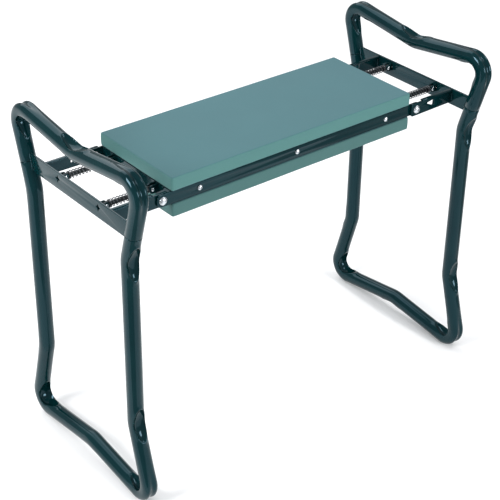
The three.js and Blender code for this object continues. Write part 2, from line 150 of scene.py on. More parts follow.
# Welds: spacing of a bead's sections, length of its ripples, and how deep it sits
WELD_STEP, WELD_RIPPLE, WELD_SINK = 0.45, 2.1, 0.2
BAR_WELD_R, BAR_WELD_IN, ARM_WELD_R = 1.75, 1.2, 1.35

# Pads
PAD_LENGTH, PAD_WIDTH, PAD_THICK, PAD_CORNER, PAD_EDGE = 408.0, 160.0, 18.8, 3.0, 1.9
PAD_GRID, PAD_SIDE_LINE = 7, 3.5
# How far a pad's face falls to its edges, how deep it waves, how far it stays below its box,
# and how much fuller its sides are at mid height
PAD_FALL, PAD_WAVE, PAD_CLEAR, PAD_FULL = 0.25, 0.07, 0.05, 0.35
ROLLS = [math.tan(math.radians(a)) for a in (0, 11.25, 22.5, 33.75, 45)]  # steps round an edge


# ---------- camera, light and floor ----------


def make_camera():
    """A long lens that looks down at the kneeler from its left front."""
    azimuth, elevation, roll = (math.radians(a) for a in CAMERA_ANGLES)
    back = Vector((
        math.sin(azimuth) * math.cos(elevation),
        -math.cos(azimuth) * math.cos(elevation),
        math.sin(elevation),
    ))
    right = Vector((math.cos(azimuth), math.sin(azimuth), 0))
    up = back.cross(right)
    rolled_right = right * math.cos(roll) + up * math.sin(roll)
    rolled_up = up * math.cos(roll) - right * math.sin(roll)
    data = bpy.data.cameras.new("camera")
    data.lens, data.sensor_width = CAMERA_LENS, CAMERA_SENSOR
    data.shift_x, data.shift_y = CAMERA_SHIFT
    data.clip_start, data.clip_end = 0.05, 50
    camera = bpy.data.objects.new("camera", data)
    bpy.context.scene.collection.objects.link(camera)
    turn = Matrix((rolled_right, rolled_up, back)).transposed()
    place = CAMERA_TARGET + back * CAMERA_DISTANCE
    camera.matrix_world = Matrix.Translation(place) @ turn.to_4x4()
    bpy.context.scene.camera = camera


def softbox(name, place, size, watts):
    """A rectangular light turned towards the middle of the kneeler."""
    data = bpy.data.lights.new(name, "AREA")
    data.shape, data.size, data.size_y = "RECTANGLE", size[0], size[1]
    data.energy = watts
    light = bpy.data.objects.new(name, data)
    light.location = place
    aim = SOFTBOX_AIM - Vector(place)
    light.rotation_euler = aim.to_track_quat("-Z", "Y").to_euler()
    bpy.context.scene.collection.objects.link(light)


def floor_piece(name, left, front, right, back, paint):
    mesh = bpy.data.meshes.new(name)
    mesh.from_pydata([(x, y, 0) for x, y in box(left, front, right, back)], [], [(0, 1, 2, 3)])
    mesh.materials.append(paint)
    piece = bpy.data.objects.new(name, mesh)
    bpy.context.scene.collection.objects.link(piece)
    return piece


def make_studio():
    """Pale light all round, four softboxes, and a pale floor. The floor's near corners aren't
    seen in the gloss, as if the sweep ended there."""
    world = bpy.data.worlds.new("studio")
    bpy.context.scene.world = world
    world.use_nodes = True
    sky = world.node_tree.nodes["Background"]
    sky.inputs["Color"].default_value = SKY_COLOUR
    sky.inputs["Strength"].default_value = SKY_STRENGTH
    for name, (place, size, watts) in SOFTBOXES.items():
        softbox(name, place, size, watts)
    paint, reach = floor_paint(), FLOOR_REACH
    floor_piece("floor_back", -reach, STRIP_BACK, reach, reach, paint)
    floor_piece("floor_front", STRIP_LEFT, -reach, STRIP_RIGHT, STRIP_BACK, paint)
    corners = (("floor_front_left", -reach, STRIP_LEFT), ("floor_front_right", STRIP_RIGHT, reach))
    for name, left, right in corners:
        corner = floor_piece(name, left, -reach, right, STRIP_BACK, paint)
        corner.visible_glossy = False


# ---------- materials ----------


class Nodes:
    """A material's node tree, with object coordinates in metres ready to use."""

    def __init__(self, name):
        self.material = bpy.data.materials.new(name)
        self.material.use_nodes = True
        self.tree = self.material.node_tree
        self.shader = self.tree.nodes["Principled BSDF"]
        texture_space = self.tree.nodes.new("ShaderNodeTexCoord")
        self.coords = texture_space.outputs["Object"]
        self.facing = texture_space.outputs["Normal"]

    def link(self, source, target):
        self.tree.links.new(source, target)

    def set(self, **values):
        for name, value in values.items():
            self.shader.inputs[name.replace("_", " ")].default_value = value

    def stretched(self, scale):
        node = self.tree.nodes.new("ShaderNodeMapping")
        node.inputs["Scale"].default_value = scale
        self.link(self.coords, node.inputs["Vector"])
        return node.outputs["Vector"]

    def noise(self, scale, detail=2.0, rough=0.5, coords=None, distortion=0.0):
        node = self.tree.nodes.new("ShaderNodeTexNoise")
        node.inputs["Scale"].default_value = scale
        node.inputs["Detail"].default_value = detail
        node.inputs["Roughness"].default_value = rough
        node.inputs["Distortion"].default_value = distortion
        self.link(coords or self.coords, node.inputs["Vector"])
        return node.outputs["Fac"]

    def cells(self, scale):
        node = self.tree.nodes.new("ShaderNodeTexVoronoi")
        node.inputs["Scale"].default_value = scale
        self.link(self.coords, node.inputs["Vector"])
        return node.outputs["Distance"]

    def spread(self, source, low, high, start=0.3, end=0.7):
        node = self.tree.nodes.new("ShaderNodeMapRange")
        for name, value in zip(("From Min", "From Max", "To Min", "To Max"), (start, end, low, high)):
            node.inputs[name].default_value = value
        self.link(source, node.inputs["Value"])
        return node.outputs["Result"]

    def blend(self, share, first, second):
        node = self.tree.nodes.new("ShaderNodeMix")
        node.data_type = "RGBA"
        self.link(share, node.inputs["Factor"])
        for socket, value in (("A", first), ("B", second)):
            target = [s for s in node.inputs if s.name == socket and s.type == "RGBA"][0]
            if isinstance(value, tuple):
                target.default_value = (*value, 1)
            else:
                self.link(value, target)
        return [s for s in node.outputs if s.type == "RGBA"][0]

    def upright(self):
        """1 where the surface faces up or down, 0 on its sides."""
        split = self.tree.nodes.new("ShaderNodeSeparateXYZ")
        self.link(self.facing, split.inputs["Vector"])
        square = self.tree.nodes.new("ShaderNodeMath")
        square.operation = "MULTIPLY"
        for socket in square.inputs[:2]:
            self.link(split.outputs["Z"], socket)
        return self.spread(square.outputs["Value"], 0, 1, 0.25, 0.9)

    def bump(self, height, strength, distance, under=None):
        node = self.tree.nodes.new("ShaderNodeBump")
        node.inputs["Strength"].default_value = strength
        node.inputs["Distance"].default_value = distance
        self.link(height, node.inputs["Height"])
        if under is not None:
            self.link(under, node.inputs["Normal"])
        return node.outputs["Normal"]

    def finish(self, colour=None, roughness=None, normal=None):
        for name, source in (("Base Color", colour), ("Roughness", roughness), ("Normal", normal)):
            if source is not None:
                self.link(source, self.shader.inputs[name])
        return self.material


def floor_paint():
    nodes = Nodes("floor_paint")
    colour = nodes.blend(nodes.noise(3.0), (0.93, 0.93, 0.935), (0.96, 0.96, 0.96))
    nodes.set(Roughness=0.85)
    return nodes.finish(colour)


def enamel():
    """Glossy stoved enamel: a faintly rippled film of dark blue-green."""
    nodes = Nodes("frame_enamel")
    cloud = nodes.noise(26, 3)
    fine = nodes.noise(900, 2)
    colour = nodes.blend(nodes.spread(cloud, 0, 1), (0.0006, 0.013, 0.0152), (0.0012, 0.0175, 0.0195))
    speck = nodes.blend(nodes.spread(fine, 0, 0.2, 0.55, 0.8), colour, (0.006, 0.03, 0.033))
    roughness = nodes.spread(cloud, 0.07, 0.12)
    ripple = nodes.bump(nodes.noise(160, 1.5), 0.05, 0.0004)
    nodes.set(IOR=1.38, Specular_IOR_Level=0.5, Specular_Tint=(0.48, 0.80, 1, 1))
    return nodes.finish(speck, roughness, ripple)


def foam(name="pad_foam", painted_shade=1.0):
    """Closed-cell foam, matt and pebbled, with a painted sky reflection and a painted shade factor."""
    # Every colour is multiplied by the painted shade factor, so a pad can be painted as if in shade
    def darkened_by_painted_shade(red, green, blue):
        return (red * painted_shade, green * painted_shade, blue * painted_shade)

    nodes = Nodes(name)
    cloud = nodes.spread(nodes.noise(9, 3), 0, 1)
    grain = nodes.noise(1300, 2, 0.6)
    pores = nodes.cells(1500)
    # Faces up or down are painted bluish-grey, a painted sky reflection; the sides stay greener
    foam_with_painted_reflection = nodes.blend(cloud, darkened_by_painted_shade(0.037, 0.123, 0.138), darkened_by_painted_shade(0.042, 0.136, 0.151))
    cut = nodes.blend(cloud, darkened_by_painted_shade(0.063, 0.188, 0.174), darkened_by_painted_shade(0.071, 0.202, 0.187))
    base = nodes.blend(nodes.upright(), cut, foam_with_painted_reflection)
    colour = nodes.blend(nodes.spread(grain, 0, 0.5, 0.35, 0.7), base, darkened_by_painted_shade(0.063, 0.17, 0.177))
    roughness = nodes.spread(grain, 0.62, 0.82)
    pebbles = nodes.bump(pores, 0.25, 0.0003)
    waves = nodes.bump(nodes.noise(70, 2), 0.08, 0.0012, pebbles)
    nodes.set(
        Sheen_Weight=0.12, Sheen_Roughness=0.5, Sheen_Tint=(0.8, 0.82, 1, 1),
        Specular_IOR_Level=0.35)
    return nodes.finish(colour, roughness, waves)


def zinc():
    """Bright zinc plate with a faint spangle and polishing lines."""
    nodes = Nodes("zinc_plate")
    spangle = nodes.noise(420, 3)
    lines = nodes.noise(600, 2, 0.6, nodes.stretched((1, 8, 1)))
    colour = nodes.blend(nodes.spread(spangle, 0, 1), (0.56, 0.6, 0.64), (0.76, 0.79, 0.82))
    roughness = nodes.spread(lines, 0.16, 0.34)
    nodes.set(Metallic=1.0)
    return nodes.finish(colour, roughness, nodes.bump(lines, 0.08, 0.0001))


def spring_wire():
    """Oiled grey wire, duller in patches."""
    nodes = Nodes("spring_wire")
    patches = nodes.noise(240, 3)
    colour = nodes.blend(nodes.spread(patches, 0, 1), (0.05, 0.055, 0.062), (0.13, 0.14, 0.15))
    roughness = nodes.spread(patches, 0.42, 0.26)
    nodes.set(Metallic=1.0)
    return nodes.finish(colour, roughness, nodes.bump(nodes.noise(1500), 0.1, 0.0001))


def blackened_steel():
    """Phosphated strip: dark, slightly mottled, rolled along its length."""
    nodes = Nodes("blackened_steel")
    mottle = nodes.noise(180, 3)
    rolled = nodes.noise(500, 2, 0.5, nodes.stretched((0.1, 1, 1)))
    colour = nodes.blend(nodes.spread(mottle, 0, 1), (0.012, 0.017, 0.019), (0.03, 0.036, 0.04))
    roughness = nodes.spread(rolled, 0.3, 0.5)
    nodes.set(Metallic=0.7)
    return nodes.finish(colour, roughness, nodes.bump(rolled, 0.12, 0.0001))


def stained_board():
    """Wood board stained dark green, with long grain."""
    nodes = Nodes("stained_board")
    grain = nodes.noise(90, 4, 0.6, nodes.stretched((0.06, 1, 1)), 0.6)
    figure = nodes.spread(grain, 0, 1, 0.35, 0.65)
    colour = nodes.blend(figure, (0.012, 0.034, 0.034), (0.032, 0.066, 0.062))
    nodes.set(Specular_IOR_Level=0.4)
    return nodes.finish(colour, nodes.spread(grain, 0.5, 0.72), nodes.bump(grain, 0.2, 0.0004))


# ---------- meshes ----------


def tidy_mesh(mesh, sharp):
    """Merges doubled points, turns faces outward, and smooths all edges flatter than sharp."""
    work = bmesh.new()
    work.from_mesh(mesh)
    bmesh.ops.remove_doubles(work, verts=work.verts, dist=2e-6)
    bmesh.ops.dissolve_degenerate(work, edges=work.edges, dist=1e-6)
    bmesh.ops.recalc_face_normals(work, faces=work.faces)
    limit = math.radians(sharp)
    for edge in work.edges:
        edge.smooth = not (len(edge.link_faces) == 2 and edge.calc_face_angle(0) > limit)
    for face in work.faces:
        face.smooth = True
    work.to_mesh(mesh)
    work.free()


def form(points, faces, sharp=SHARP):
    """An unnamed object from points in millimetres."""
    mesh = bpy.data.meshes.new("form")
    mesh.from_pydata([(x * MM, y * MM, z * MM) for x, y, z in points], [], faces)
    tidy_mesh(mesh, sharp)
    piece = bpy.data.objects.new("form", mesh)
    bpy.context.scene.collection.objects.link(piece)
    return piece


def combined(operation, first, *others, sharp=SHARP):
    """first with the other forms added to it or cut from it, as one closed mesh."""
    for other in others:
        step = first.modifiers.new("step", "BOOLEAN")
        step.operation, step.solver, step.object = operation, "EXACT", other
        bpy.context.view_layer.update()
        evaluated = first.evaluated_get(bpy.context.evaluated_depsgraph_get())
        mesh = bpy.data.meshes.new_from_object(evaluated)
        first.modifiers.clear()
        first.data = mesh
        bpy.data.objects.remove(other)
    tidy_mesh(first.data, sharp)
    return first


def gathered(forms):
    """Several separate closed forms as one mesh."""
    mesh = bpy.data.meshes.new("form")
    work = bmesh.new()
    for other in forms:
        work.from_mesh(other.data)
        bpy.data.objects.remove(other)
    work.to_mesh(mesh)
    work.free()
    tidy_mesh(mesh, SHARP)
    piece = bpy.data.objects.new("form", mesh)
    bpy.context.scene.collection.objects.link(piece)
    return piece


def install(piece, name, material, body, turn=None, replaces=()):
    """Names a form, turns it to its end, and makes it ride on its body."""
    if turn is not None:
        piece.data.transform(turn)
    piece.name = piece.data.name = name
    piece.data.materials.clear()
    piece.data.materials.append(material)
    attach(piece, body)
    if replaces:
        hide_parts(*replaces)
    return piece


def stand_in(piece, node, material, turn=None):
    """A detailed form in place of one CAD node, on that node's body."""
    return install(piece, f"{node}_detail", material, BODY_OF[node], turn, [node])


def band(one, two, sides):
    """Faces between two closed rings of points, which start at the indices one and two."""
    return [(one + k, one + (k + 1) % sides, two + (k + 1) % sides, two + k) for k in range(sides)]


def box(left, low, right, high):
    return [(left, low), (right, low), (right, high), (left, high)]


def rounded(points, radii, steps=6):
    """A closed outline with each corner rounded by its radius."""
    outline = []
    count = len(points)
    for index, (point, radius) in enumerate(zip(points, radii)):
        here = Vector(point)
        if radius <= 0:
            outline.append(here)
            continue
        before = (Vector(points[index - 1]) - here).normalized()
        after = (Vector(points[(index + 1) % count]) - here).normalized()
        half = before.angle(after) / 2
        centre = here + (before + after).normalized() * (radius / math.sin(half))
        start = here + before * (radius / math.tan(half)) - centre
        finish = here + after * (radius / math.tan(half)) - centre
        sweep = math.atan2(start.cross(finish), start.dot(finish))
        for step in range(steps + 1):
            angle = sweep * step / steps
            cosine, sine = math.cos(angle), math.sin(angle)
            outline.append(centre + Vector(
                (start.x * cosine - start.y * sine, start.x * sine + start.y * cosine)))
    return outline


def circle(x, y, radius, sides=28):
    return [
        Vector((x + radius * math.cos(2 * math.pi * k / sides),
                y + radius * math.sin(2 * math.pi * k / sides)))
        for k in range(sides)
    ]


def star(y, z, outer, inner):
    """A four-pointed star, one point up."""
    return [
        Vector((y + (outer, inner)[k % 2] * math.cos(math.pi * k / 4 + math.pi / 2),
                z + (outer, inner)[k % 2] * math.sin(math.pi * k / 4 + math.pi / 2)))
        for k in range(8)
    ]


def signed_area(loop):
    return sum(a.cross(b) for a, b in zip(loop, loop[1:] + loop[:1])) / 2


def inset(loop, distance):
    """The loop moved to its left by distance, corners mitred."""
    moved = []
    for before, here, after in zip(loop[-1:] + loop[:-1], loop, loop[1:] + loop[:1]):
        into, out = (here - before).normalized(), (after - here).normalized()
        left_in, left_out = Vector((-into.y, into.x)), Vector((-out.y, out.x))
        mitre = left_in + left_out
        moved.append(here + mitre * (distance / max(0.3, 1 + left_in.dot(left_out))))
    return moved


def plate(outline, holes, low, thick, plane, edge=0.4, rounds=3):
    """A flat plate with rounded edges. Plane "xz" is drawn in (x, z) and stands from y = low;
    plane "yz" is drawn in (y, z) and stands from x = low."""
    loops = [outline if signed_area(outline) > 0 else outline[::-1]]
    loops += [hole if signed_area(hole) < 0 else hole[::-1] for hole in holes]
    levels = [(edge * (1 - math.sin(a)), edge * (1 - math.cos(a)))
              for a in (math.pi / 2 * k / rounds for k in range(rounds + 1))]
    levels += [(across, thick - deep) for across, deep in reversed(levels)]
    count = sum(len(loop) for loop in loops)
    points, faces = [], []
    for across, deep in levels:
        for loop in loops:
            points += [(p.x, p.y, low + deep) for p in inset(loop, across)]
    for level in range(len(levels) - 1):
        start = 0
        for loop in loops:
            faces += band(level * count + start, (level + 1) * count + start, len(loop))
            start += len(loop)
    flat = [[Vector((p.x, p.y, 0)) for p in inset(loop, levels[0][0])] for loop in loops]
    for a, b, c in tessellate_polygon(flat):
        faces.append((a, b, c))
        top = (len(levels) - 1) * count
        faces.append((top + c, top + b, top + a))
    if plane == "xz":
        points = [(u, w, v) for u, v, w in points]
    else:
        points = [(w, u, v) for u, v, w in points]
    return form(points, faces)


def turned(profile, x, z, sides, y=0.0):
    """A solid turned about Y from (radius, y) points that start and end on the axis."""
    points, rings = [], []
    for radius, along in profile:
        if radius < 1e-6:
            rings.append([len(points)])
            points.append((x, y + along, z))
            continue
        rings.append(list(range(len(points), len(points) + sides)))
        for k in range(sides):
            angle = 2 * math.pi * k / sides
            points.append((x + radius * math.cos(angle), y + along, z + radius * math.sin(angle)))
    faces = []
    for one, two in zip(rings, rings[1:]):
        if len(one) == 1:
            faces += [(one[0], two[(k + 1) % sides], two[k]) for k in range(sides)]
        elif len(two) == 1:
            faces += [(one[k], one[(k + 1) % sides], two[0]) for k in range(sides)]
        else:
            faces += band(one[0], two[0], sides)
    return form(points, faces, sharp=50)


def swept(centres, normals, binormals, radii, sides):
    """A closed round rod through centres, with a radius for each."""
    points, faces = [], []
    for centre, normal, binormal, radius in zip(centres, normals, binormals, radii):
        for k in range(sides):
            angle = 2 * math.pi * k / sides
            points.append(tuple(
                centre + (normal * math.cos(angle) + binormal * math.sin(angle)) * radius))
    last = len(centres) - 1
    for ring in range(last):
        faces += band(ring * sides, (ring + 1) * sides, sides)
    faces.append(tuple(range(sides))[::-1])
    faces.append(tuple(last * sides + k for k in range(sides)))
    return form(points, faces, sharp=50)


# ---------- bent tubes ----------


class Route:
    """A centreline in (y, z): straight runs with a circular bend at each inner corner."""

    def __init__(self, corners):
        self.runs, self.bends, self.length = [], [], 0.0
        here = Vector(corners[0][:2])
        for before, corner, after in zip(corners, corners[1:], corners[2:]):
            point, radius, kind = Vector(corner[:2]), corner[2], corner[3]
            into = (point - Vector(before[:2])).normalized()
            out = (Vector(after[:2]) - point).normalized()
            turn = math.atan2(into.cross(out), into.dot(out))
            trim = radius * math.tan(abs(turn) / 2)
            self._run(here, into, (point - into * trim - here).length, 0)
            arc = radius * abs(turn)
            self.bends.append((self.length + arc / 2, math.copysign(1, turn), kind))
            self._run(point - into * trim, into, arc, math.copysign(radius, turn))
            here = point + out * trim
        end = Vector(corners[-1][:2])
        self._run(here, (end - here).normalized(), (end - here).length, 0)

    def _run(self, start, heading, length, radius):
        self.runs.append((self.length, start, heading, length, radius))
        self.length += length

    def at(self, distance):
        """Place and heading at a distance along the route."""
        begin, start, heading, length, radius = self.runs[0]
        for run in self.runs:
            if distance >= run[0]:
                begin, start, heading, length, radius = run
        gone = min(distance - begin, length)
        if not radius:
            return start + heading * gone, heading
        left = Vector((-heading.y, heading.x))
        angle = gone / radius
        place = start + heading * (radius * math.sin(angle)) + left * (radius * (1 - math.cos(angle)))
        return place, heading * math.cos(angle) + left * math.sin(angle)

    def stations(self):
        """Distances along the route, close together at the bends."""
        marks, distance = [0.0, SEAM_CHAMFER / 2, SEAM_CHAMFER], SEAM_CHAMFER
        while distance < self.length - SEAM_CHAMFER - FINE_STEP:
            near = min(abs(distance - bend[0]) - CRIMPS[bend[2]]["half"] for bend in self.bends)
            growing = min(COARSE_STEP, max(FINE_STEP, near - STEP_LAG))
            distance += FINE_STEP if near < FINE_MARGIN else growing
            marks.append(min(distance, self.length - SEAM_CHAMFER - 0.2))
        return marks + [self.length - back for back in (SEAM_CHAMFER, SEAM_CHAMFER / 2, 0.0)]


def crimp(across, side, along, turn_side, kind):
    """Pushes a tube section's points in at a bend. across is along the bend's plane and side is
    square to it, both as arrays; along is the distance from the middle of the bend."""
    shape = CRIMPS[kind]
    share = along / shape["half"]
    near = math.exp(-((1.25 * share) ** 2))
    inside = across * turn_side / TUBE_R
    side = side * (1 + shape["fuller"] * near * np.minimum(inside ** 2, 1))
    spread = np.abs(side) / TUBE_R
    # The dent is an oval bowl inside a low rounded rim
    oval = np.hypot(spread / shape["wide"], share)
    dent = shape["deep"] * np.clip(1 - oval ** 2.4, 0, 1) ** 0.9
    lip = shape["lip"] * np.exp(-(((oval - 1.05) / 0.13) ** 2))
    push = np.where(inside > 0.02, dent - lip, 0)
    groove = shape["groove"] * near * np.exp(-((spread / 0.36) ** 2))
    push = np.where(inside < -0.3, -groove, push)
    return across - turn_side * push, side


def bent_tube(corners):
    """A tube along a route at x = LEG_X, its bends crimped and its ends chamfered."""
    route = Route(corners)
    angles = np.arange(TUBE_SIDES) * (2 * math.pi / TUBE_SIDES)
    points, faces = [], []
    marks = route.stations()
    for mark in marks:
        place, heading = route.at(mark)
        left = Vector((-heading.y, heading.x))
        end = min(mark, route.length - mark)
        radius = TUBE_R - max(0.0, SEAM_CHAMFER - end) ** 2 / SEAM_CHAMFER
        across, side = radius * np.cos(angles), radius * np.sin(angles)
        for middle, turn_side, kind in route.bends:
            if abs(mark - middle) < 1.5 * CRIMPS[kind]["half"]:
                across, side = crimp(across, side, mark - middle, turn_side, kind)
        points += [(LEG_X + s, place.x + left.x * a, place.y + left.y * a)
                   for a, s in zip(across, side)]
    for ring in range(len(marks) - 1):
        faces += band(ring * TUBE_SIDES, (ring + 1) * TUBE_SIDES, TUBE_SIDES)
    faces.append(tuple(range(TUBE_SIDES)))
    last = (len(marks) - 1) * TUBE_SIDES
    faces.append(tuple(last + k for k in range(TUBE_SIDES)))
    return form(points, faces, sharp=75)


LEG_LEAN = math.atan2(CORNER_Y - WAIST_Y, CORNER_UP - WAIST_UP)


def leg_y(z):
    """How far a leg stands from the middle above its waist."""
    return WAIST_Y + (z - LOOP_MID - WAIST_UP) * math.tan(LEG_LEAN)


def handle_tube():
    seam, top = SEAM_Z + SEAM_GAP / 2, LOOP_MID + CORNER_UP
    return bent_tube([
        (-leg_y(seam), seam),
        (-CORNER_Y, top, CORNER_BEND, "corner"),
        (0, LOOP_MID + DIP_UP, DIP_BEND, "dip"),
        (CORNER_Y, top, CORNER_BEND, "corner"),
        (leg_y(seam), seam),
    ])


def leg_tube():
    seam = SEAM_Z - SEAM_GAP / 2
    half = [
        (leg_y(seam), seam),
        (WAIST_Y, LOOP_MID + WAIST_UP, WAIST_BEND, "waist"),
        (WAIST_Y, LOOP_MID - WAIST_UP, WAIST_BEND, "waist"),
        (CORNER_Y, LOOP_MID - CORNER_UP, CORNER_BEND, "corner"),
    ]
    front = [(-corner[0], *corner[1:]) for corner in half]
    return bent_tube([*front, (0, LOOP_MID - DIP_UP, DIP_BEND, "dip"), *half[::-1]])


# ---------- flat metal ----------


def crossbar():
    """The flat bar between a loop's legs, its ends sloped along them."""
    def reach(z):
        return leg_y(z) - (TUBE_R + GAP) / math.cos(LEG_LEAN)

    corners = [(-reach(BAR_LOW), BAR_LOW), (reach(BAR_LOW), BAR_LOW),
               (reach(BAR_HIGH), BAR_HIGH), (-reach(BAR_HIGH), BAR_HIGH)]
    holes = [star(side * STRUT_Y, STRUT_Z, *STAR) for side in (-1, 1)]
    return plate([Vector(c) for c in corners], holes, BAR_IN, BAR_THICK, "yz", edge=0.5)


def rail():
    """The front rail; the back one is the same, turned half round."""
    reach = HINGE_X + RAIL_PAST_BOLT
    outline = rounded(box(-reach, RAIL_LOW, reach, RAIL_HIGH), [RAIL_CORNER] * 4, 10)
    holes = [circle(side * HINGE_X, HINGE_Z, BOLT_HOLE_R) for side in (-1, 1)]
    holes += [circle(x, HINGE_Z, SCREW_HOLE_R, 20) for x in SCREW_XS.values()]
    return plate(outline, holes, -RAIL_OUT, RAIL_THICK, "xz", edge=0.45)


def hinge_arm(y_low, lip_side):
    """An arm from the crossbar to its hinge bolt, its top edge folded in as a lip."""
    far, near, low = BAR_IN - GAP, HINGE_X - ARM_REACH, HINGE_Z - ARM_REACH
    outline = rounded(
        [(far, ARM_FOOT), (far, WEB_TOP), (near, WEB_TOP), (near, low), (near + ARM_NOSE, low)],
        [0, 0, 3, 3, 20])
    window = rounded([(HINGE_X + x, HINGE_Z + z) for x, z in ARM_WINDOW], [1.1, 1.4, 1.4], 5)
    bolt_hole = circle(HINGE_X, HINGE_Z, BOLT_HOLE_R)
    web = plate(outline, [bolt_hole, window], y_low, ARM_THICK, "xz")
    outer = y_low - LIP_PROUD if lip_side > 0 else y_low + ARM_THICK + LIP_PROUD
    inner = outer + lip_side * (ARM_THICK + 2 * LIP_PROUD)
    tip = outer + lip_side * (LIP_DEEP + LIP_PROUD)
    root, under = ARM_TOP - LIP_ROOT, ARM_TOP - LIP_THICK
    profile = rounded(
        [(outer, root), (inner, root), (inner, under), (tip, under), (tip, ARM_TOP), (outer, ARM_TOP)],
        [0, 0, 0.8, 0.9, 0.9, 2.4])
    lip = plate(profile, [], LIP_START, far - LIP_START, "yz", edge=0.3)
    return combined("UNION", web, lip)


def pin_hole(x):
    return circle(x, STRUT_Z, PIN_HOLE_R, 16)


def clevis(y):
    """Two cheeks for the strut's rivet on a base, held by a tenon in the crossbar's star."""
    wide, face = CHEEK_GAP + CHEEK_THICK, BAR_IN - GAP
    foot = rounded(box(y - wide, STRUT_Z - CLEVIS_HALF, y + wide, STRUT_Z + CLEVIS_HALF), [1] * 4, 3)
    base = plate(foot, [], face - CLEVIS_THICK, CLEVIS_THICK, "yz", edge=0.25)
    root, tip = face - CLEVIS_THICK / 2, RIVET_X - EAR_HALF
    low, high, turn = STRUT_Z - EAR_HALF, STRUT_Z + EAR_HALF, EAR_HALF - 0.01
    ear = rounded([(root, low), (root, high), (tip, high), (tip, low)], [0, 0, turn, turn], 8)
    cheeks = [plate(ear, [pin_hole(RIVET_X)], side, CHEEK_THICK, "xz", edge=0.25)
              for side in (y - wide, y + CHEEK_GAP)]
    tenon = plate(star(y, STRUT_Z, STAR[0] - 0.5, STAR[1] - 0.3), [], face - 0.5, 1.3, "yz", edge=0.2)
    return combined("UNION", base, *cheeks, tenon)


def strut(y):
    """A flat stay with an eye at the crossbar, a narrow neck, and a slot for its pin."""
    low, high = STRUT_Z - STRUT_HIGH / 2, STRUT_Z + STRUT_HIGH / 2
    neck_low, neck_high = STRUT_Z - STRUT_NECK / 2, STRUT_Z + STRUT_NECK / 2
    tip, end = PIN_X - 4.5, RIVET_X + EYE_REACH
    near_out, near_in = NECK_NEAR - NECK_EASE, NECK_NEAR + NECK_EASE
    far_in, far_out = NECK_FAR - NECK_EASE, NECK_FAR + NECK_EASE
    outline = rounded(
        [(tip, low), (near_out, low), (near_in, neck_low), (far_in, neck_low), (far_out, low),
         (end, low), (end, high), (far_out, high), (far_in, neck_high), (near_in, neck_high),
         (near_out, high), (tip, high)],
        [2, 1, 1, 1, 1, 3.9, 3.9, 0.5, 0.5, 0.5, 0.5, 2], 5)
    slot = box(PIN_X - SLOT_BACK, STRUT_Z - SLOT_HALF, PIN_X + SLOT_AHEAD, STRUT_Z + SLOT_HALF)
    holes = [rounded(slot, [0.6] * 4, 3), pin_hole(RIVET_X)]
    return plate(outline, holes, y - STRUT_THICK / 2, STRUT_THICK, "xz", edge=0.3)


def end_plate():
    """The plate that closes the board's end, with a pair of lugs for each strut's pin."""
    outline = rounded(box(-BOARD_HALF_Y, BOARD_LOW, BOARD_HALF_Y, BOARD_HIGH), [1.5] * 4, 4)
    sheet = plate(outline, [], END_PLATE_X, END_PLATE_THICK, "yz", edge=0.3)
    root, turn = END_PLATE_X + END_PLATE_THICK - 0.7, LUG_HALF - 0.01
    ear = rounded(box(root, STRUT_Z - LUG_HALF, PIN_X + LUG_HALF, STRUT_Z + LUG_HALF),
                  [0, turn, turn, 0], 8)
    lows = [side * STRUT_Y + low for side in (-1, 1) for low in (-CHEEK_GAP - CHEEK_THICK, CHEEK_GAP)]
    lugs = [plate(ear, [pin_hole(PIN_X)], low, CHEEK_THICK, "xz", edge=0.25) for low in lows]
    return combined("UNION", sheet, *lugs)


# ---------- fasteners and springs ----------


def dome(radius, rim, height, face, steps):
    """(radius, y) points of a domed head that stands on y = face, from its edge to the axis."""
    sphere = (radius * radius + (height - rim) ** 2) / (2 * (height - rim))
    points = [(radius - 0.25, face), (radius, face + 0.25), (radius, face + rim)]
    for k in range(1, steps + 1):
        across = radius * (1 - k / steps)
        points.append((across, face + height - sphere + math.sqrt(sphere ** 2 - across ** 2)))
    return points


def outward(profile, side):
    """The profile as it is on the back, or turned to point to the front."""
    return profile if side > 0 else [(radius, -y) for radius, y in profile]


def hinge_bolt(side, head_face, nut_face):
    """A domed bolt whose threaded end stands a little out of its nut."""
    tail = nut_face - BOLT_END
    thread = [(0, tail), (THREAD_TIP_R, tail)]
    for turn in range(THREAD_TURNS):
        y = tail + THREAD_PITCH / 2 + turn * THREAD_PITCH
        thread += [(THREAD_R, y), (BOLT_R, y + 0.35), (BOLT_R, y + 0.45)]
    profile = [*thread, (BOLT_R, head_face), *dome(*BOLT_HEAD, head_face, 12)]
    return turned(outward(profile, side), HINGE_X, HINGE_Z, 44)


def hinge_nut(side, nut_face):
    """A hexagon nut, its corners chamfered round."""
    sides, flat = 48, NUT_R * math.cos(math.pi / 6)
    levels = [(0, NUT_CHAMFER_R), (NUT_CHAMFER, NUT_R),
              (NUT_HIGH - NUT_CHAMFER, NUT_R), (NUT_HIGH, NUT_CHAMFER_R)]
    points, faces = [], []
    for inner in (False, True):
        for deep, limit in levels:
            for k in range(sides):
                angle = 2 * math.pi * k / sides
                to_flat = abs((angle - math.pi / 6) % (math.pi / 3) - math.pi / 6)
                hexagon = flat / math.cos(math.pi / 6 - to_flat)
                radius = NUT_HOLE_R if inner else min(hexagon, limit)
                points.append((HINGE_X + radius * math.cos(angle),
                               side * (nut_face - NUT_HIGH + deep),
                               HINGE_Z + radius * math.sin(angle)))
    # Up the outside, then down the hole
    rings = [0, 1, 2, 3, 7, 6, 5, 4]
    for one, two in zip(rings, rings[1:] + rings[:1]):
        faces += band(one * sides, two * sides, sides)
    return form(points, faces, sharp=25)


